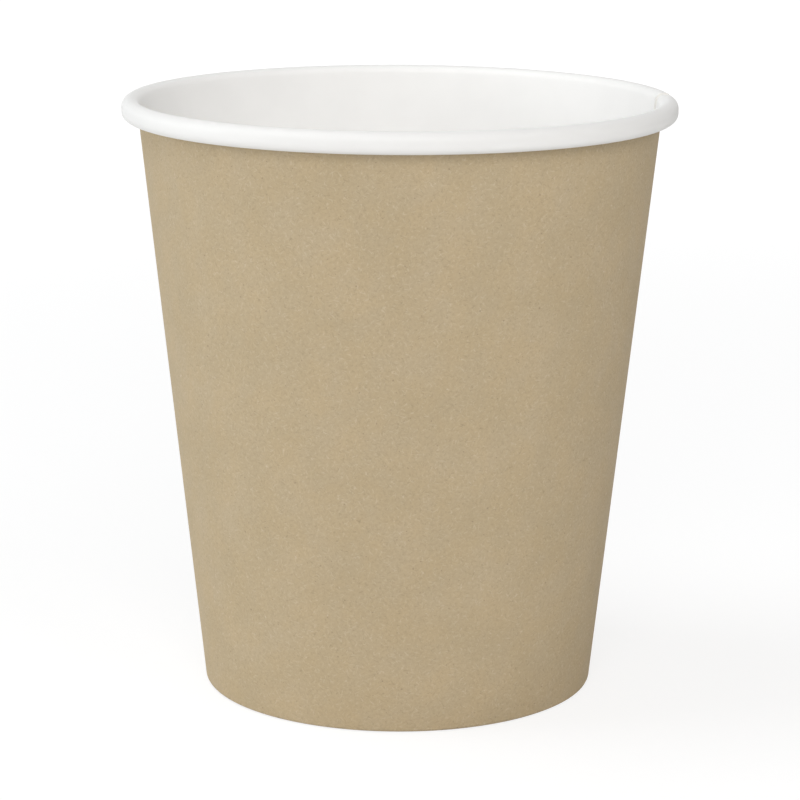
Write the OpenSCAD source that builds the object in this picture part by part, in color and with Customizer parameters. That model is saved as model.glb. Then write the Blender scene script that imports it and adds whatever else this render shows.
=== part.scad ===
// Single-wall paper cup for hot drinks, in millimetres.
// It stands on the table at z = 0, on the axis of the cup. The front is at -Y, and the side seam
// is at the right, a little behind +X.
// Two pieces of board: a wall blank, rolled out into the rim at the top and turned in under the
// bottom, and a drawn bottom panel whose skirt is held in that turned-in hem.

/* [Cup] */
// Height from the table to the top of the rim
height = 86.5; // [60:0.5:120]
// Diameter over the rolled rim, which a lid grips
rim_d = 80; // [70:0.5:96]
// Outside diameter of the wall where it meets the table
base_d = 57.2; // [46:0.1:64]

/* [Board] */
// Thickness of the wall's board
wall_t = 0.4; // [0.3:0.02:0.5]
// Thickness of the bottom panel's board
panel_t = 0.32; // [0.25:0.01:0.45]
// Glue line between the skirt and the board on each side of it
seal_gap = 0.02; // [0.01:0.01:0.04]

/* [Rolled rim] */
// How far the roll stands out from the wall
roll_w = 2.45; // [2:0.05:2.8]
// Height of the roll
roll_h = 3.05; // [3:0.05:4]
// Opening left between the roll's tucked-in lip and the wall
lip_gap = 0.06; // [0.04:0.01:0.12]
// Radius of the last turn of the lip, to the middle of the board
lip_r = 0.5; // [0.3:0.05:0.6]
// How far the lip turns on inside the roll, in degrees
lip_turn = 110; // [60:5:130]

/* [Bottom] */
// Height of the bottom panel's upper face above the table
floor_h = 8; // [7:0.25:12]
// Height of the hem, turned up inside the skirt
hem_h = 5.6; // [4:0.1:5.8]
// How far the edge of the skirt stays above the middle of the fold
skirt_clear = 1; // [0.2:0.1:1.5]
// Outside radius of the bottom panel's drawn corner
corner_r = 0.9; // [0.6:0.05:1.2]
// How much the folded edge is pressed flat where the cup stands
foot_press = 0.06; // [0.03:0.01:0.1]

/* [Side seam] */
// Width of the overlap, at half height
lap_w = 7; // [5:0.5:9]
// Thickness that the overlap adds, once it is pressed and sealed
lap_t = 0.3; // [0.2:0.02:0.4]
// Width of the slope where the board climbs on to its own edge
climb_w = 3; // [2:0.25:4]
// Depth of the step that the covered edge leaves inside the cup
step_t = 0.24; // [0.1:0.02:0.28]

/* [Hidden] */
$fn = 96;
kraft = "#b7a685";
white = "#f3f2ef";

// Slope of the wall, from its outside line between the table and the roll's underside
rim_r = rim_d / 2;
base_r = base_d / 2;
tan_a = (rim_r - roll_w - base_r) / (height - roll_h);
taper = atan(tan_a);
// Radius of the middle of the wall's board, at the table and at any height
wall_r0 = base_r - wall_t / 2 / cos(taper);
function wall_r(z) = wall_r0 + tan_a * z;

// Headings along the board, in degrees from +X towards +Z: up and down the wall
up = 90 - taper;
down = -90 - taper;
turn_step = 12;

// A place on the board's middle line: a point of a bend about c, at heading a.
// A bend to the right has a radius above 0, and a bend to the left one below 0.
function place(c, r, a) = [c[0] - r * sin(a), c[1] + r * cos(a), a];
function bend(c, r, a0, a1) =
    let (n = ceil(abs(a1 - a0) / turn_step))
    [for (i = [0:n]) place(c, r, a0 + (a1 - a0) * i / n)];
// A path without its first place, to go on from one that ends there
function rest_of(path) = [for (i = [1:len(path) - 1]) path[i]];
// The point d to the left of a place, never below the table
function beside(p, d) = [p[0] - d * sin(p[2]), max(0, p[1] + d * cos(p[2]))];
// The outline of the band between d1 and d2 to the left of a path
function band(path, d1, d2) = concat(
    [for (p = path) beside(p, d1)],
    [for (i = [len(path) - 1:-1:0]) beside(path[i], d2)]);

// Roll: a wide bend over the top, a short straight side, a tighter bend back to the wall and the lip
over_r = (rim_r - wall_t / 2 - wall_r(height - wall_t / 2))
    / (1 + cos(taper) - tan_a * (1 - sin(taper)));
over_z = height - wall_t / 2 - over_r;
over_c = [wall_r(over_z + over_r * sin(taper)) + over_r * cos(taper), over_z];
under_r = (over_c[0] + over_r - wall_t / 2 - lip_gap - wall_t / 2 / cos(taper)
    - wall_r(over_z - roll_h + over_r + wall_t)) / (2 + tan_a);
side_h = roll_h - over_r - under_r - wall_t;
under_c = [over_c[0] + over_r - under_r, over_z - side_h];
lip_c = [under_c[0] - under_r + lip_r, under_c[1]];

// Hem: the board folds round the skirt, with a glue line on each side of it
fold_r = (wall_t + panel_t) / 2 + seal_gap;
fold_z = fold_r + wall_t / 2 - foot_press;
fold_c = [wall_r(fold_z - fold_r * sin(taper)) - fold_r * cos(taper), fold_z];
hem_r = fold_c[0] - fold_r * cos(taper) + tan_a * (hem_h - fold_z - fold_r * sin(taper));

// The wall blank's middle line, from the hem's top edge to the roll's lip
foot_path = concat([[hem_r, hem_h, down]], bend(fold_c, -fold_r, down, up));
over_path = bend(over_c, over_r, up, -90);
under_path = bend(under_c, under_r, -90, -270);
lip_path = rest_of(bend(lip_c, lip_r, -270, -270 - lip_turn));
blank_path = concat(foot_path, over_path, under_path, lip_path);

// Seam: its angles about the axis, and the stretch of the blank that overlaps itself.
// The stretch ends inside the roll, where the underside turns back up along the wall.
seam_at = 13;
mid_r = wall_r(height / 2);
function angle_of(w) = w / mid_r * 180 / PI;
lap_a = angle_of(lap_w);
climb_a = angle_of(climb_w);
lap_path = concat(foot_path, over_path, [for (p = under_path) if (p[2] > -180) p]);
// The covered edge leaves its step inside the cup from the skirt's edge up and over the roll
skirt_end = fold_z + skirt_clear;
climb_path = concat(foot_path, [[wall_r(skirt_end), skirt_end, up]],
    over_path, under_path, lip_path);
step_start = len(foot_path);
lap_end = len(lap_path) + 1;
// The climb ends this much short of the outer layer's face
climb_short = 0.02;

// Bottom panel: its skirt lies inside the wall, a glue line away
skirt_off = wall_t / 2 + seal_gap + panel_t / 2;
function skirt_r(z) = wall_r(z) - skirt_off / cos(taper);
corner_mid = corner_r - panel_t / 2;
corner_z = floor_h - panel_t / 2 - corner_mid;
corner_c = [skirt_r(corner_z - corner_mid * sin(taper)) - corner_mid * cos(taper), corner_z];
panel_path = concat(
    [[0, floor_h - panel_t / 2, 0]],
    bend(corner_c, corner_mid, 0, down),
    [[skirt_r(skirt_end), skirt_end, down]]);

// The board between two angles about the axis. At each angle it is given by pairs of points,
// one on its left face and one on its right face, for each place of a path.
module skinned(pairs0, a0, pairs1, a1) {
    n = len(pairs0);
    corners = [for (i = [0:n - 1]) each [
        at_angle(pairs0[i][0], a0), at_angle(pairs0[i][1], a0),
        at_angle(pairs1[i][1], a1), at_angle(pairs1[i][0], a1)]];
    sides = [for (i = [0:n - 2], k = [0:3])
        each halves(4 * i + 4 + k, 4 * i + 4 + (k + 1) % 4, 4 * i + (k + 1) % 4, 4 * i + k)];
    ends = concat(halves(0, 1, 2, 3), halves(4 * n - 1, 4 * n - 2, 4 * n - 3, 4 * n - 4));
    polyhedron(corners, concat(sides, ends), convexity = 6);
}
function at_angle(p, a) = [p[0] * cos(a), p[0] * sin(a), p[1]];
function halves(a, b, c, d) = [[a, b, c], [a, c, d]];
function faces_at(p, d1, d2) = [beside(p, d1), beside(p, d2)];

// The wall blank, wrapped round from one edge of the climb to the other: hem, fold, wall and roll
module wrapped_blank() {
    rotate_extrude(angle = 360 - climb_a, start = 0)
        polygon(band(blank_path, wall_t / 2, -wall_t / 2));
}

// The outer layer of the overlap, with its cut edge along one side. It begins inside the board.
module overlap() {
    rotate_extrude(angle = lap_a, start = 0)
        polygon(band(lap_path, 0, -wall_t / 2 - lap_t));
}

// The board climbing on to its own covered edge, which leaves a step inside and over the rim
module climb() {
    level = [for (p = climb_path) faces_at(p, wall_t / 2, -wall_t / 2)];
    risen = [for (i = [0:len(climb_path) - 1])
        let (laps = i < lap_end, steps = laps && i >= step_start)
        faces_at(climb_path[i],
            wall_t / 2 - (steps ? step_t : 0), -wall_t / 2 - (laps ? lap_t - climb_short : 0))];
    skinned(level, -climb_a, risen, 0);
}

module cup_wall() {
    color(kraft)
        rotate([0, 0, seam_at - lap_a / 2]) {
            wrapped_blank();
            overlap();
            climb();
        }
}

// The bottom panel: a flat disc with a drawn corner and a skirt that follows the wall's slope
module bottom_panel() {
    color(white)
        rotate_extrude()
            polygon(band(panel_path, panel_t / 2, -panel_t / 2));
}

cup_wall();
bottom_panel();
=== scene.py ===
# %% [markdown]
# # A single-wall paper cup
# The cup is two pieces of board. The wall is a flat blank, brown outside and white inside, that a
# machine wraps round a cone, seals along a lapped seam, rolls outward into the rim and folds in
# under the bottom. The bottom panel is a disc drawn to a tray with a short skirt, which that fold
# holds. A lathed solid with a hollow cut in it would look like a cup from afar, but it would have
# no real seam, hem or hollow roll. So both pieces are made the way the machine makes them: a
# section, traced along the middle of the board, is turned about the cup's axis and then given
# the board's thickness.

import math

import bpy
import numpy as np
from mathutils import Matrix, Vector


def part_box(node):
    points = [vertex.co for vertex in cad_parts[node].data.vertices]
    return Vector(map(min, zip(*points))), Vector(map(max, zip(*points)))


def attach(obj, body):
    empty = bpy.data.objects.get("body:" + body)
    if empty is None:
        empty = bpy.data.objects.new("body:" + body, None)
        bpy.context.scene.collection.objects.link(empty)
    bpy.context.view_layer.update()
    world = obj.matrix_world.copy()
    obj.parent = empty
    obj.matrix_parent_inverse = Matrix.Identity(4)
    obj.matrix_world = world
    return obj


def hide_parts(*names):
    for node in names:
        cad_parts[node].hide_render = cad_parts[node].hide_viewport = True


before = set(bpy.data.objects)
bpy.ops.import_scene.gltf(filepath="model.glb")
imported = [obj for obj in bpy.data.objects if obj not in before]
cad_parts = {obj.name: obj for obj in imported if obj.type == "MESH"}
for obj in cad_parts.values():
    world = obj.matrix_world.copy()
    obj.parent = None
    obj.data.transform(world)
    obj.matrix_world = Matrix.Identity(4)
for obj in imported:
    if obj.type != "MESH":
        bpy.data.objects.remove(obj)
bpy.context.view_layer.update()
wall_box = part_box("cup_wall")
panel_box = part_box("bottom_panel")
print("frame:", sorted(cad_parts), "height", round(wall_box[1][2], 5))

# %% [markdown]
# ## Sizes
# Blender works in metres, so a millimetre gets a name. The height, the rim and the bottom panel's
# height come from the frame. The rest are the driving sizes of a small hot cup. Each could be
# written where it is used, but with a name it is changed in one place.

# %% Driving sizes
MM = 0.001
height = wall_box[1][2]
rim_r = wall_box[1][0]
floor_h = panel_box[1][2]
base_r = 28.6 * MM
wall_t = 0.4 * MM
panel_t = 0.32 * MM
seal_gap = 0.02 * MM
roll_w = 2.45 * MM
roll_h = 3.05 * MM
lip_gap = 0.06 * MM
lip_r = 0.5 * MM
lip_turn = math.radians(110)
hem_h = 5.6 * MM
skirt_clear = 1.0 * MM
corner_r = 0.9 * MM
foot_press = 0.06 * MM
lap_w = 7.0 * MM
lap_t = 0.3 * MM
climb_w = 3.0 * MM
print("rim radius", round(rim_r / MM, 2), "foot radius", round(base_r / MM, 2), "mm")

# %% [markdown]
# ## Slope and seam
# The wall is part of a cone, so that cups nest in a stack. Its slope isn't set by eye: it follows
# from the radius at the foot, the radius under the roll and the height between them. The seam's
# widths are measured along the board at half height, and become angles about the axis.

# %% The wall's slope and the angles of its seam
tan_a = (rim_r - roll_w - base_r) / (height - roll_h)
taper = math.atan(tan_a)
cos_a = math.cos(taper)
sin_a = math.sin(taper)


def wall_r(z):
    """Radius of the middle of the wall's board at the height z."""
    return base_r - wall_t / 2 / cos_a + tan_a * z


mid_r = wall_r(height / 2)
lap_angle = lap_w / mid_r
climb_angle = climb_w / mid_r
seam_at = math.radians(13)
print("taper", round(math.degrees(taper), 2), "degrees; lap", round(math.degrees(lap_angle), 1))

# %% [markdown]
# ## Camera
# The photograph was taken from far enough away that the cup's sides hardly converge, and from a
# little above the rim. A camera could be placed by eye, but then every edge is a little off. This
# one's height, distance and lens were found by fitting the rim's two ellipses, the wall's outlines
# and the curve of the foot. The horizon of the photograph leans by a quarter of a degree, so the
# camera is rolled by as much.

# %% Camera
camera_place = Vector((0.2, -433.5, 140.3)) * MM
camera_down = 0.224
camera_roll = 0.0044
camera = bpy.data.cameras.new("camera")
camera.sensor_width = 36
camera.lens = 135.9
camera_object = bpy.data.objects.new("camera", camera)
bpy.context.scene.collection.objects.link(camera_object)
tilt = Matrix.Rotation(math.pi / 2 - camera_down, 4, "X") @ Matrix.Rotation(camera_roll, 4, "Z")
camera_object.matrix_world = Matrix.Translation(camera_place) @ tilt
bpy.context.scene.camera = camera_object
bpy.context.scene.view_settings.view_transform = "Standard"
print("camera looks down by", round(math.degrees(camera_down), 1), "degrees")

# %% [markdown]
# ## The wall blank's section
# From its upper edge inside, the board runs down as the hem, turns under in the fold that the cup
# stands on, climbs the wall, and rolls outward at the top. The roll is a wide bend over the top, a
# short straight side and a tighter bend back to the wall. Its lip turns on inside the hollow. A
# torus could stand for the roll, but it has no lip and no straight side. So every bend is worked
# out as a centre and a radius, and meets the board before it without a kink.

# %% Centres of the bends
fold_r = (wall_t + panel_t) / 2 + seal_gap
fold_z = fold_r + wall_t / 2 - foot_press
fold_c = (wall_r(fold_z - fold_r * sin_a) - fold_r * cos_a, fold_z)
hem_foot = (fold_c[0] - fold_r * cos_a, fold_c[1] + fold_r * sin_a)
hem_top = (hem_foot[0] + tan_a * (hem_h - hem_foot[1]), hem_h)

over_r = (rim_r - wall_t / 2 - wall_r(height - wall_t / 2)) / (1 + cos_a - tan_a * (1 - sin_a))
over_z = height - wall_t / 2 - over_r
over_c = (wall_r(over_z + over_r * sin_a) + over_r * cos_a, over_z)
wall_top = (over_c[0] - over_r * cos_a, over_z + over_r * sin_a)
roll_foot_r = wall_r(over_z - roll_h + over_r + wall_t)
under_r = ((over_c[0] + over_r - wall_t / 2 - lip_gap - wall_t / 2 / cos_a - roll_foot_r)
           / (2 + tan_a))
under_c = (over_c[0] + over_r - under_r, over_z - roll_h + over_r + under_r + wall_t)
side_foot = (over_c[0] + over_r, under_c[1])
lip_c = (under_c[0] - under_r + lip_r, under_c[1])
print("bend radii in mm:", [round(r / MM, 3) for r in (fold_r, over_r, under_r, lip_r)])

# %% [markdown]
# ## Tracing a section
# A section is a chain of edges in the XZ plane. It starts as one vertex, left over from a plane.
# A straight run is an extrusion of the last vertex, and a bend is that vertex spun about the
# bend's centre. The chain could be typed in as a list of points, but a spin makes each round a
# true arc, and every run starts where the last one ended.

# %% Start with one vertex
def start_section(name, x, z):
    """Starts a section with one selected vertex, and stays in edit mode."""
    bpy.ops.object.select_all(action="DESELECT")
    bpy.ops.mesh.primitive_plane_add(size=MM, location=(0, 0, 0))
    piece = bpy.context.object
    piece.name = name
    piece.data.name = name
    bpy.ops.object.mode_set(mode="EDIT")
    bpy.ops.mesh.select_all(action="SELECT")
    bpy.ops.mesh.merge(type="CENTER")
    bpy.ops.transform.translate(value=(x, 0, z))
    return piece


wall = start_section("wall_blank", *hem_top)
print(wall.name, "starts at", [round(c / MM, 2) for c in hem_top], "mm")


# %% Run straight down the hem
def run_to(here, there, steps):
    """Extrudes the last vertex in a straight run of a few steps, and gives the end."""
    step = ((there[0] - here[0]) / steps, 0, (there[1] - here[1]) / steps)
    for _ in range(steps):
        bpy.ops.mesh.extrude_region_move(TRANSFORM_OT_translate={"value": step})
    return there


hem_steps = 10
here = run_to(hem_top, hem_foot, hem_steps)
print("hem:", round(math.dist(hem_top, hem_foot) / MM, 2), "mm of board")


# %% Bend round the fold, climb the wall and roll the rim
def bend_about(here, centre, angle, steps):
    """Spins the last vertex about a centre: above 0 turns clockwise, with +X to the right."""
    bpy.ops.mesh.spin(steps=steps, angle=angle, center=(centre[0], 0, centre[1]), axis=(0, -1, 0))
    x, z = here[0] - centre[0], here[1] - centre[1]
    return (centre[0] + x * math.cos(angle) + z * math.sin(angle),
            centre[1] - x * math.sin(angle) + z * math.cos(angle))


fold_steps = 12
wall_steps = 12
over_steps = 14
side_steps = 2
under_steps = 14
lip_steps = 6
here = bend_about(here, fold_c, -math.pi, fold_steps)
here = run_to(here, wall_top, wall_steps)
here = bend_about(here, over_c, math.pi - taper, over_steps)
here = run_to(here, side_foot, side_steps)
here = bend_about(here, under_c, math.pi, under_steps)
here = bend_about(here, lip_c, lip_turn, lip_steps)
print("the lip ends at", [round(c / MM, 2) for c in here], "mm")


# %% Read the section back
def chain_points(piece):
    """The section's points in the XZ plane, in the order of its edges from its first vertex."""
    bpy.ops.object.mode_set(mode="OBJECT")
    near = {}
    for edge in piece.data.edges:
        a, b = edge.vertices
        near.setdefault(a, []).append(b)
        near.setdefault(b, []).append(a)
    order = [0]
    while len(order) < len(piece.data.vertices):
        order.append(next(v for v in near[order[-1]] if v not in order[-2:]))
    bpy.ops.object.mode_set(mode="EDIT")
    return np.array([piece.data.vertices[v].co[:] for v in order])[:, [0, 2]]


section = chain_points(wall)
along = np.concatenate([[0], np.cumsum(np.hypot(*np.diff(section, axis=0).T))])
wall_start = hem_steps + fold_steps
over_start = wall_start + wall_steps
lip_start = len(section) - 1 - lip_steps
print("wall section:", len(section), "points,", round(along[-1] / MM, 1), "mm of board")

# %% [markdown]
# ## Wrapping the blank
# A machine wraps the blank round a cone until its edges overlap. One full spin of the section
# would close it without a seam. So the section is spun about the cup's axis in two turns. The
# first is the single board. The second climbs on to the covered edge and overlaps it, with finer
# steps, because the seam's edges are what shows. A spin adds its new vertices after the old ones,
# so an index tells the layers apart where two of them lie at the same angle.

# %% Two spins about the axis
ring_steps = 354
seam_steps = 30
bpy.ops.mesh.select_all(action="SELECT")
bpy.ops.mesh.spin(steps=ring_steps, angle=2 * math.pi - climb_angle, axis=(0, 0, -1))
bpy.ops.object.mode_set(mode="OBJECT")
single_count = len(wall.data.vertices)
bpy.ops.object.mode_set(mode="EDIT")
bpy.ops.mesh.spin(steps=seam_steps, angle=climb_angle + lap_angle, axis=(0, 0, -1))
bpy.ops.object.mode_set(mode="OBJECT")
print("vertices in the single board:", single_count, "and in all:", len(wall.data.vertices))

# %% [markdown]
# ## Each vertex's place on the flat blank
# On the flat blank, a vertex lies so far along the section and so far round the cone. The seam and
# the grain both need these two numbers. They could be noted while the mesh grows, but it is
# simpler to measure them once it is whole. Past a full turn an angle starts again from 0, so the
# outer layer gets its turn added.

# %% Measure the place of each vertex
def read_vertices(piece):
    """A piece's vertices as an array."""
    flat = np.empty(len(piece.data.vertices) * 3, dtype=np.float32)
    piece.data.vertices.foreach_get("co", flat)
    return flat.reshape(-1, 3).astype(float)


def nearest_of(points, radii, heights):
    """For each vertex, the nearest point of a section."""
    gap = (points[None, :, 0] - radii[:, None]) ** 2 + (points[None, :, 1] - heights[:, None]) ** 2
    return gap.argmin(axis=1)


same_angle = 1e-4
places = read_vertices(wall)
point = nearest_of(section, np.hypot(places[:, 0], places[:, 1]), places[:, 2])
outer_layer = np.arange(len(places)) >= single_count
turn = np.arctan2(places[:, 1], places[:, 0]) % (2 * math.pi)
past = turn - 2 * math.pi * (turn > math.pi)
turn = np.where(turn > 2 * math.pi - same_angle, 0, turn)
turn = np.where(outer_layer, 2 * math.pi + past, turn)
print("the blank turns from", round(turn.min(), 3), "to", round(turn.max(), 3), "radians")

# %% [markdown]
# ## The lapped seam
# Where the blank overlaps itself, the inner layer is pressed a little thinner and the outer layer
# climbs over it. Inside, the covered edge leaves a step, which runs up the wall and over the rim.
# Outside, the other edge stands proud. The foot is crushed flush, both layers to half their
# thickness. A strip laid over the wall would show two edges outside, where a real seam has one, so
# the layers themselves are moved: each is so much of the board's thickness, and its middle moves
# along the normal of the section. The section's right side, seen along the trace, is the outside.

# %% Thickness and offset of the two layers along the section
def smooth(share):
    """An even step from 0 to 1."""
    share = np.clip(share, 0, 1)
    return share * share * (3 - 2 * share)


tangent = np.gradient(section, along, axis=0)
tangent /= np.hypot(tangent[:, 0], tangent[:, 1])[:, None]
right = np.stack([tangent[:, 1], -tangent[:, 0]], axis=1)
layer_gap = 0.006 * MM
crush_top = 2.2 * MM
crush_slope = 1.4 * MM
fade_points = 5
crushed = smooth((crush_top - section[:, 1]) / crush_slope)
fade = smooth((lip_start - np.arange(len(section))) / fade_points)

inner_t = wall_t - (wall_t - lap_t) * (1 - crushed) - wall_t / 2 * crushed - layer_gap
inner_shift = (inner_t - wall_t) / 2
outer_t = wall_t * (1 - crushed / 2)
outer_shift = lap_t * (1 - crushed) + wall_t / 4 * crushed
print("inner layer", round(inner_t.min() / MM, 3), "to", round(inner_t.max() / MM, 3), "mm thick")


# %% Press one layer and lift the other
def write_vertices(piece, places):
    """Moves a piece's vertices to new places."""
    piece.data.vertices.foreach_set("co", places.astype(np.float32).ravel())
    piece.data.update()


covered = 1 - smooth((turn - lap_angle) / (climb_angle / 2))
covered = np.where(outer_layer, 0, covered) * fade[point]
climbed = smooth((turn - (2 * math.pi - climb_angle)) / climb_angle)
climbed = np.where(outer_layer, climbed, 0) * fade[point]
shift = covered * inner_shift[point] + climbed * outer_shift[point]
share = 1 + covered * (inner_t[point] / wall_t - 1) + climbed * (outer_t[point] / wall_t - 1)

outward = places[:, :2] / np.hypot(places[:, 0], places[:, 1])[:, None]
places[:, :2] += outward * (shift * right[point, 0])[:, None]
places[:, 2] += shift * right[point, 1]
write_vertices(wall, places)
weights = share.round(3)
board_group = wall.vertex_groups.new(name="board_thickness")
for value in np.unique(weights):
    board_group.add(np.flatnonzero(weights == value).tolist(), float(value), "REPLACE")
print("seam: outer layer stands", round(float(shift.max()) / MM, 2), "mm proud")

# %% [markdown]
# ## The blank's own map
# The grain of the board was there before the board was wrapped, so its pattern belongs to the flat
# blank. Blender's unwrap would give some flat shape of its own. A cone unrolls flat without
# stretching: a distance from its apex stays a distance, and an angle round it shrinks by the sine
# of the taper. So the map is worked out, and it holds real metres.

# %% Unroll the blank into its map
from_apex = section[wall_start, 0] / sin_a + along[point] - along[wall_start]
swept = turn * sin_a
flat_map = np.stack([from_apex * np.sin(swept), from_apex * np.cos(swept)], axis=1)
blank_map = wall.data.uv_layers.new(name="blank")
corner_vertex = np.empty(len(wall.data.loops), dtype=np.int32)
wall.data.loops.foreach_get("vertex_index", corner_vertex)
blank_map.data.foreach_set("uv", flat_map[corner_vertex].astype(np.float32).ravel())
print("blank:", flat_map.max(axis=0).round(3) - flat_map.min(axis=0).round(3), "m")

# %% [markdown]
# ## Thickness
# The traced surface is the middle of the board. A second surface could be traced beside it, but
# Solidify gives the board's thickness, half to each side, in one step. It also names the sides:
# the outer face keeps the first material, the inner face gets the second, and the cut edges of
# the board get the third. The vertex group thins the board where the seam is pressed.

# %% Turn the faces outwards
def only(piece):
    """Makes a piece the one that is selected and active, as every operator expects."""
    bpy.ops.object.select_all(action="DESELECT")
    piece.select_set(True)
    bpy.context.view_layer.objects.active = piece


def face_outwards(piece, outward_share):
    """Makes the faces agree, and turns all of them over where they point inwards."""
    only(piece)
    bpy.ops.object.mode_set(mode="EDIT")
    bpy.ops.mesh.select_all(action="SELECT")
    bpy.ops.mesh.normals_make_consistent(inside=False)
    bpy.ops.object.mode_set(mode="OBJECT")
    turned_over = sum(outward_share(face) for face in piece.data.polygons) < 0
    if turned_over:
        bpy.ops.object.mode_set(mode="EDIT")
        bpy.ops.mesh.select_all(action="SELECT")
        bpy.ops.mesh.flip_normals()
        bpy.ops.object.mode_set(mode="OBJECT")
    return turned_over


def away_from_axis(face):
    """How far a face points away from the axis, for the faces round the middle of the wall."""
    near_middle = abs(face.center.z - height / 2) < 10 * MM
    return near_middle * (face.normal.x * face.center.x + face.normal.y * face.center.y)


print("wall faces were turned over:", face_outwards(wall, away_from_axis))


# %% Give the wall its board
def give_board(piece, thickness, finishes, group=""):
    """Thickens a traced surface. The finishes are for its two sides and for its cut edges."""
    for name in finishes:
        piece.data.materials.append(bpy.data.materials.new(name))
    only(piece)
    board = piece.modifiers.new("board", "SOLIDIFY")
    board.thickness = thickness
    board.offset = 0
    board.use_even_offset = True
    board.vertex_group = group
    board.material_offset = 1
    board.material_offset_rim = 2
    bpy.ops.object.modifier_apply(modifier="board")
    print(piece.name, "faces:", len(piece.data.polygons))


give_board(wall, wall_t, ("outer_face", "inner_face", "cut_edge"), "board_thickness")

# %% [markdown]
# ## The foot
# The cup stands on the fold. Its lowest part is pressed flat by the forming tool. A cut at the
# table's height would open the board there, so everything that the thickness took below the table
# is flattened on to it instead.

# %% Press the foot flat
bpy.ops.object.mode_set(mode="EDIT")
bpy.ops.mesh.select_all(action="DESELECT")
bpy.ops.object.mode_set(mode="OBJECT")
low = np.flatnonzero(read_vertices(wall)[:, 2] < 0)
for vertex in low:
    wall.data.vertices[vertex].select = True
bpy.ops.object.mode_set(mode="EDIT")
bpy.ops.mesh.select_mode(type="VERT")
bpy.ops.transform.resize(value=(1, 1, 0), center_override=(0, 0, 0))
bpy.ops.object.mode_set(mode="OBJECT")
print("pressed vertices:", len(low))

# %% [markdown]
# ## Knurl marks
# A toothed roller runs round inside the hem and squeezes it on to the skirt. It leaves a band of
# upright dents in the hem's inner face, which shows when the cup is turned over. A bump in the
# material could draw them, but a dent in the mesh is part of the shape itself.

# %% Roll the marks into the hem
knurl_count = 90
knurl_depth = 0.15 * MM
knurl_low = 1.5 * MM
knurl_high = hem_h - 0.6 * MM
knurl_edge = 0.4 * MM
places = read_vertices(wall)
radius = np.hypot(places[:, 0], places[:, 1])
hem_middle = hem_foot[0] + tan_a * (places[:, 2] - hem_foot[1])
on_band = smooth((places[:, 2] - knurl_low) / knurl_edge) * smooth(
    (knurl_high - places[:, 2]) / knurl_edge)
on_band *= radius < hem_middle - wall_t / 8
around = np.arctan2(places[:, 1], places[:, 0])
dent = knurl_depth * on_band * (0.5 + 0.5 * np.cos(knurl_count * around))
places[:, :2] *= (1 + dent / radius)[:, None]
write_vertices(wall, places)
print("knurled vertices:", int((dent > 0).sum()))

# %% [markdown]
# ## The seam's place
# The blank was wrapped from +X on, but the cup stands with its seam at the right, a little behind
# +X. The object could keep that turn as its rotation. A pattern or an export that reads the mesh
# would miss it, so it is applied, and the object stays at the origin. Shading is then smooth over
# the rounds and sharp at the board's cut edges.

# %% Turn the seam to the right
def settle(piece, turned=0.0, sharp_from=math.radians(38)):
    """Turns a finished mesh about the cup's axis, with its object left at the origin."""
    only(piece)
    piece.rotation_euler.z = turned
    bpy.ops.object.transform_apply(location=True, rotation=True, scale=True)
    bpy.ops.object.shade_smooth_by_angle(angle=sharp_from)
    places = read_vertices(piece)
    for end, corner in (("lowest", places.min(axis=0)), ("highest", places.max(axis=0))):
        print(piece.name, end, "corner:", [round(float(c) / MM, 2) for c in corner], "mm")


settle(wall, seam_at - lap_angle / 2)

# %% [markdown]
# ## The bottom panel
# The panel is a disc drawn to a shallow tray that stands upside down in the cup: its flat is the
# floor of the drink, and its skirt points down between the wall and the hem. A plain disc would
# close the cup as well, but the skirt shows from below and is what holds the panel. It is traced
# from the axis outwards, round the drawn corner and down the skirt, and spun once round.

# %% Where the corner and the skirt lie
skirt_off = wall_t / 2 + seal_gap + panel_t / 2


def skirt_r(z):
    """Radius of the middle of the skirt at the height z."""
    return wall_r(z) - skirt_off / cos_a


corner_mid = corner_r - panel_t / 2
corner_z = floor_h - panel_t / 2 - corner_mid
corner_c = (skirt_r(corner_z - corner_mid * sin_a) - corner_mid * cos_a, corner_z)
skirt_end = fold_z + skirt_clear
print("skirt ends", round(skirt_end / MM, 2), "mm above the table")

# %% Trace the panel
flat_steps = 12
corner_steps = 10
skirt_steps = 6
panel = start_section("drawn_panel", 0, floor_h - panel_t / 2)
here = run_to((0, floor_h - panel_t / 2), (corner_c[0], floor_h - panel_t / 2), flat_steps)
here = bend_about(here, corner_c, math.pi / 2 + taper, corner_steps)
here = run_to(here, (skirt_r(skirt_end), skirt_end), skirt_steps)
print("the skirt's edge is at", [round(c / MM, 2) for c in here], "mm")

# %% Spin and thicken the panel
panel_rings = 180
same_place = 0.001 * MM
bpy.ops.mesh.select_all(action="SELECT")
bpy.ops.mesh.spin(steps=panel_rings, angle=2 * math.pi, axis=(0, 0, 1))
bpy.ops.mesh.select_all(action="SELECT")
bpy.ops.mesh.remove_doubles(threshold=same_place)
bpy.ops.object.mode_set(mode="OBJECT")
print("panel faces were turned over:", face_outwards(panel, lambda face: face.normal.z * face.area))
give_board(panel, panel_t, ("panel_top", "panel_under", "panel_edge"))
settle(panel)

# %% [markdown]
# ## Writing shaders as sums
# A pattern is arithmetic on values that change over a surface. It could be wired node by node, but
# sums are easier to read. A small class wraps a socket, so that adding or multiplying two of them
# adds the Math nodes, and one method makes any other node.

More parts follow.
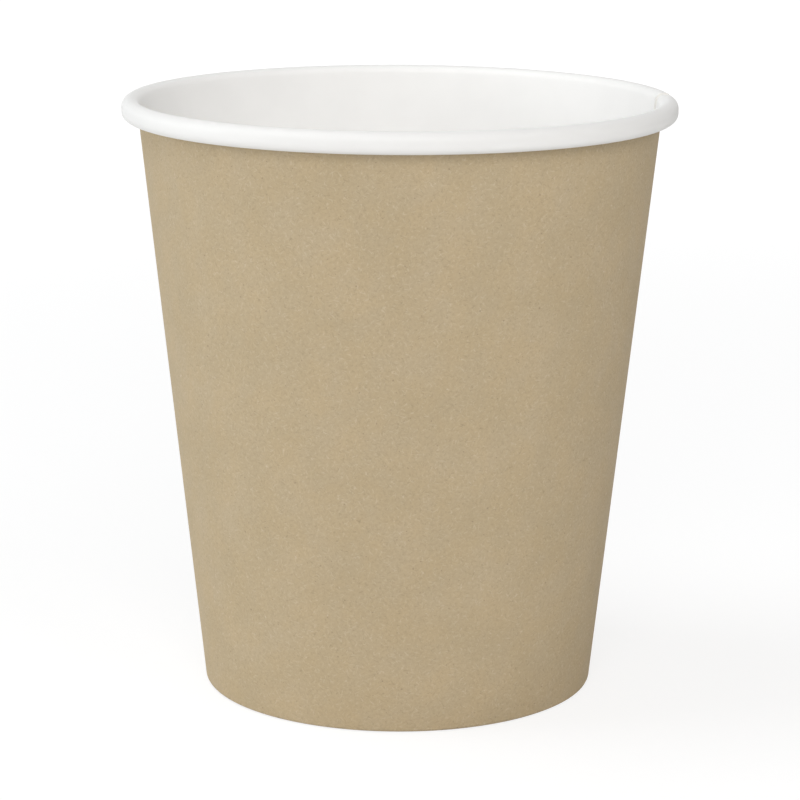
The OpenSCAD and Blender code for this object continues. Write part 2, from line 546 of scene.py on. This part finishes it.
# %% A value that changes over a surface
class Field:
    """The output socket of a node, for use in sums."""

    def __init__(self, shader, socket):
        self.shader = shader
        self.socket = socket

    def maths(self, operation, first, second):
        return self.shader.node("ShaderNodeMath", {"operation": operation}, {0: first, 1: second})

    def __add__(self, other):
        return self.maths("ADD", self, other)

    def __sub__(self, other):
        return self.maths("SUBTRACT", self, other)

    def __rsub__(self, other):
        return self.maths("SUBTRACT", other, self)

    def __mul__(self, other):
        return self.maths("MULTIPLY", self, other)

    __radd__ = __add__
    __rmul__ = __mul__

    def between(self, low, high):
        """0 below low, 1 above high and a soft step between."""
        return self.shader.node("ShaderNodeMapRange", {"interpolation_type": "SMOOTHSTEP"},
                                {"Value": self, "From Min": low, "From Max": high})


print("a field can be added, subtracted and multiplied")


# %% The nodes of one material
# The Mix node has sockets for each kind of value, so those for colours are known by their number
COLOUR_A, COLOUR_B, MIXED_COLOUR = 6, 7, 2


class Shader:
    """Adds nodes to the tree of a material or a world."""

    def __init__(self, material):
        material.use_nodes = True
        self.tree = material.node_tree
        self.tree.nodes.clear()

    def node(self, kind, settings=None, inputs=None, output=0):
        """Adds a node, sets it and links it. Gives the Field of one of its outputs."""
        new = self.tree.nodes.new(kind)
        for name, value in (settings or {}).items():
            setattr(new, name, value)
        for name, value in (inputs or {}).items():
            if isinstance(value, Field):
                self.tree.links.new(value.socket, new.inputs[name])
            else:
                new.inputs[name].default_value = value
        return Field(self, new.outputs[output]) if len(new.outputs) else None

    def mix(self, share, first, second):
        """A colour between two colours."""
        return self.node("ShaderNodeMix", {"data_type": "RGBA"},
                         {0: share, COLOUR_A: first, COLOUR_B: second}, MIXED_COLOUR)

    def noise(self, place, size, detail=2.0, roughness=0.5):
        """Cloudy noise about 0.5, with features of about the given size in metres."""
        return self.node("ShaderNodeTexNoise", None, {
            "Vector": place, "Scale": 1 / size, "Detail": detail, "Roughness": roughness})

    def turned(self, place, angle, stretch):
        """The place with its axes turned, then divided by a stretch."""
        return self.node("ShaderNodeMapping", {"vector_type": "TEXTURE"}, {
            "Vector": place, "Rotation": (0, 0, math.radians(angle)), "Scale": stretch})

    def distance(self, place):
        """How far a place is from the middle of its map."""
        return self.node("ShaderNodeVectorMath", {"operation": "LENGTH"}, {0: place}, "Value")

    def finish(self, colour, roughness, height_field, bump, depth, specular=0.5):
        """One opaque surface, shown by the material's output."""
        normal = self.node("ShaderNodeBump", None, {
            "Height": height_field, "Strength": bump, "Distance": depth})
        surface = self.node("ShaderNodeBsdfPrincipled", None, {
            "Base Color": colour, "Roughness": roughness, "Normal": normal,
            "Specular IOR Level": specular})
        self.node("ShaderNodeOutputMaterial", None, {"Surface": surface})


def linear(red, green, blue):
    """A colour as a paint chart gives it, from 0 to 255, in the linear values that nodes use."""
    parts = [c / 255 for c in (red, green, blue)]
    return tuple(c / 12.92 if c <= 0.04045 else ((c + 0.055) / 1.055) ** 2.4 for c in parts) + (1,)


print("kraft brown in linear values:", [round(c, 3) for c in linear(183, 166, 137)])

# %% [markdown]
# ## Brown board
# The outside is unbleached board. Its brown isn't even: the pulp clouds it over a few millimetres,
# a little redder here and greener there. On that lie short fibres, both pale and dark, which point
# every way, and here and there a dark speck. Each fibre could be a stroke of its own, but there
# are many thousands. So the fibres are noise stretched long and thin in several directions, a
# little bent, and only its peaks are kept.

# %% Patterns of the brown board
def fibres(shader, place, angles, long, thin, keep=0.64, fade_in=0.09):
    """The strongest peaks of stretched noise, in several directions."""
    total = None
    for angle in angles:
        streaks = shader.turned(place, angle, (long / thin, 1, 1))
        peaks = shader.noise(streaks, thin, 1.0).between(keep, keep + fade_in)
        total = peaks if total is None else total + peaks
    return total


kraft = Shader(bpy.data.materials["outer_face"])
blank_place = kraft.node("ShaderNodeUVMap", {"uv_map": "blank"})
sway = kraft.noise(blank_place, 0.9 * MM, 1.0)
bent_place = kraft.node("ShaderNodeVectorMath", {"operation": "MULTIPLY_ADD"}, {
    0: kraft.node("ShaderNodeCombineXYZ", None, {0: sway, 1: sway}),
    1: (0.5 * MM, -0.5 * MM, 0), 2: blank_place})
clouds = kraft.noise(blank_place, 9 * MM, 3.0, 0.55)
tints = kraft.noise(kraft.turned(blank_place, 40, (1.3, 1, 1)), 4 * MM, 2.0)
grain = kraft.noise(blank_place, 0.42 * MM, 2.5, 0.65)
pale = fibres(kraft, bent_place, (8, 52, 97, 141), long=1.1 * MM, thin=0.25 * MM)
dark = fibres(kraft, bent_place, (31, 76, 122, 164), long=0.9 * MM, thin=0.24 * MM)
specks = kraft.noise(blank_place, 0.45 * MM, 0.0).between(0.81, 0.86)
print("pattern nodes of the outer face:", len(kraft.tree.nodes))

# %% Colours of the brown board
brown = kraft.mix(tints.between(0.3, 0.7), linear(183, 166, 137), linear(185, 166, 134))
for layer, tone in (
        (clouds.between(0.25, 0.75) * 0.4, (171, 154, 122)),
        (grain.between(0.3, 0.75) * 0.3, (154, 137, 111)),
        (pale * 0.24, (208, 195, 171)),
        (dark * 0.25, (140, 126, 98)),
        (specks * 0.4, (113, 97, 76))):
    brown = kraft.mix(layer, brown, linear(*tone))
kraft.finish(brown, roughness=grain * 0.1 + 0.65, height_field=grain + pale * 0.5 - dark * 0.3,
             bump=0.3, depth=0.025 * MM, specular=0.2)
print("outer face nodes:", len(kraft.tree.nodes))

# %% [markdown]
# ## White coating
# The inside, and the roll at the rim, which is the same board, carry a thin bioplastic film on
# bleached board. It is a touch warm, nearly smooth, and has a soft sheen. One flat white would look
# like plastic, and the board beneath shows through as a very faint waviness, so the coating gets a
# fine bump and a slow one. Over the roll the white is painted a shade greyer: painted shade, which
# keeps the roll's top, lit from above, from burning out to white. The distance from the cone's
# apex, which is the length of the map's vector, tells where the roll begins.

# %% Material of the inner face
coating = Shader(bpy.data.materials["inner_face"])
film_place = coating.node("ShaderNodeUVMap", {"uv_map": "blank"})
waves = coating.noise(film_place, 2.2 * MM, 2.0)
pores = coating.noise(film_place, 0.4 * MM, 1.0)
mottle = coating.noise(film_place, 7 * MM, 2.0)
# Painted shade: from where the roll begins, the white is mixed to a greyer white so the roll's top
# stays below full white
roll_start = from_apex[point == over_start].min()
roll_blend = 2 * MM
roll_painted_shade = coating.distance(film_place).between(roll_start, roll_start + roll_blend)
film = coating.mix(mottle.between(0.3, 0.7), linear(247, 246, 244), linear(245, 244, 242))
film = coating.mix(roll_painted_shade, film, linear(229, 228, 226))
coating.finish(film, roughness=mottle * 0.1 + 0.48, height_field=waves + pores * 0.35,
               bump=0.25, depth=0.02 * MM, specular=0.35)
print("inner face nodes:", len(coating.tree.nodes))

# %% [markdown]
# ## Cut edge of the board
# Where the blank was cut, its raw plies show, rough and without a sheen. The plies could be drawn
# as stripes, but at 0.4 mm they are too thin to tell apart, so the edge is a soft mottle of two
# whites. It reads Object coordinates, because the edge has no width on the blank's map.

# %% Material of the cut edge
raw = Shader(bpy.data.materials["cut_edge"])
raw_place = raw.node("ShaderNodeTexCoord", None, None, "Object")
fuzz = raw.noise(raw_place, 0.15 * MM, 2.0)
ply = raw.mix(fuzz, linear(230, 228, 223), linear(238, 236, 232))
raw.finish(ply, roughness=fuzz * 0.1 + 0.85, height_field=fuzz,
           bump=0.5, depth=0.03 * MM, specular=0.2)
print("cut edge nodes:", len(raw.tree.nodes))

# %% [markdown]
# ## Board of the bottom panel
# The panel is white board, coated above where the drink stands and bare below. Both sides and the
# edge have the same make-up, a slow mottle and a fine grain, and differ in colour and sheen. Three
# materials could be written out, but one loop over their differences keeps them alike.

# %% Materials of the bottom panel
for name, light, shade, gloss in (
        ("panel_top", (246, 245, 243), (244, 243, 241), 0.5),
        ("panel_under", (240, 238, 232), (237, 235, 229), 0.72),
        ("panel_edge", (236, 231, 220), (226, 220, 206), 0.85)):
    paper = Shader(bpy.data.materials[name])
    disc_place = paper.node("ShaderNodeTexCoord", None, None, "Object")
    slow = paper.noise(disc_place, 6 * MM, 2.0)
    fine = paper.noise(disc_place, 0.35 * MM, 2.0)
    colour = paper.mix(slow.between(0.3, 0.7), linear(*light), linear(*shade))
    paper.finish(colour, roughness=slow * 0.1 + (gloss - 0.05),
                 height_field=slow * 0.4 + fine * 0.3, bump=0.25, depth=0.03 * MM)
    print(name, "nodes:", len(paper.tree.nodes))

# %% [markdown]
# ## Floor
# A product photograph of this kind is taken in a white tent, and its floor melts into the
# background. Stronger lamps could burn the floor out to white, but the cup would pale with it. So
# the floor is matt for the light, and for the camera, through Is Camera Ray, most of it glows
# white. Near the cup the glow's share is smaller, so a faint shadow stays.

# %% Floor
floor_size = 6
floor_drop = 0.1 * MM
glow_near = 0.7
bpy.ops.object.select_all(action="DESELECT")
bpy.ops.mesh.primitive_plane_add(size=floor_size, location=(0, 0, -floor_drop))
floor = bpy.context.object
floor.name = "studio_floor"
bpy.ops.object.transform_apply(location=True, rotation=True, scale=True)
studio_white = bpy.data.materials.new("studio_white")
floor.data.materials.append(studio_white)
paint = Shader(studio_white)
floor_place = paint.node("ShaderNodeTexCoord", None, None, "Object")
far = paint.distance(floor_place).between(0.15, 0.7)
seen = paint.node("ShaderNodeLightPath", None, None, "Is Camera Ray")
matt = paint.node("ShaderNodeBsdfDiffuse", None, {"Color": linear(250, 250, 250)})
glow = paint.node("ShaderNodeEmission", None, {"Strength": 1.08})
paint.node("ShaderNodeOutputMaterial", None, {"Surface": paint.node("ShaderNodeMixShader", None, {
    0: seen * (far * (1 - glow_near) + glow_near), 1: matt, 2: glow})})
print("floor nodes:", len(paint.tree.nodes))

# %% [markdown]
# ## World
# The tent's cloth lights the cup faintly from everywhere. An image of a studio could do that, but
# an even white needs none. Only the camera, reflections and clear materials see it at full white,
# through the Light Path, so the background is white and the cup keeps its tones.

# %% World
tent_light = 0.28
world = bpy.data.worlds.new("tent")
bpy.context.scene.world = world
tent = Shader(world)
camera_ray, glossy_ray, clear_ray = (
    tent.node("ShaderNodeLightPath", None, None, name)
    for name in ("Is Camera Ray", "Is Glossy Ray", "Is Transmission Ray"))
direct = (camera_ray + glossy_ray + clear_ray).between(0, 1)
tent.node("ShaderNodeOutputWorld", None, {"Surface": tent.node("ShaderNodeBackground", None, {
    "Color": (1, 1, 1, 1), "Strength": direct * (1 - tent_light) + tent_light})})
print("the tent lights the cup at", tent_light, "of the white that the camera sees")

# %% [markdown]
# ## Lamps
# In the photograph the left half of the cup is light and its right edge is the darkest. One big
# lamp can't give both that and the light inner wall. Each of several wide soft lamps was rendered
# alone, and their strengths were fitted to the tones of the wall, the inner wall and the roll:
# one in front, two at the left, one high and one low, a weaker one at the right and a faint one
# behind. The left ones are a little cool and the right one a little warm, as the board shows.

# %% Lamps
def softbox(name, azimuth, elevation, watts, tint=(1, 1, 1)):
    """A lamp 60 cm wide, 1 m from the middle of the cup. Azimuth 0 is the camera's side."""
    lamp = bpy.data.lights.new(name, "AREA")
    lamp.size, lamp.energy, lamp.color = 0.6, watts, tint
    around, above = math.radians(azimuth), math.radians(elevation)
    away = Vector((math.sin(around) * math.cos(above), -math.cos(around) * math.cos(above),
                   math.sin(above)))
    lamp_object = bpy.data.objects.new(name, lamp)
    bpy.context.scene.collection.objects.link(lamp_object)
    lamp_object.location = Vector((0, 0, height / 2)) + away
    lamp_object.rotation_euler = away.to_track_quat("Z", "Y").to_euler()


cool = (0.95, 0.98, 1.0)
warm = (1.0, 0.97, 0.94)
softbox("front", 0, 28, 4.3)
softbox("left_high", -90, 65, 3.1, cool)
softbox("left_low", -90, 10, 4.2, cool)
softbox("right", 50, 35, 2.0, warm)
softbox("rear", 180, 50, 0.3)

# %% [markdown]
# ## Handing over
# Each piece rides on the one body, and the CAD node that it stands for is hidden.
# The CAD nodes could stay in view with new materials, but their seam is one faceted slope and
# their board has no map, so the two finished pieces take their place.

# %% Ride on the body and hide the CAD nodes
for piece, node, finish in ((wall, "cup_wall", "wall_board"),
                            (panel, "bottom_panel", "panel_board")):
    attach(piece, "root")
    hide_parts(node)
    print(piece.name, "stands for", node)
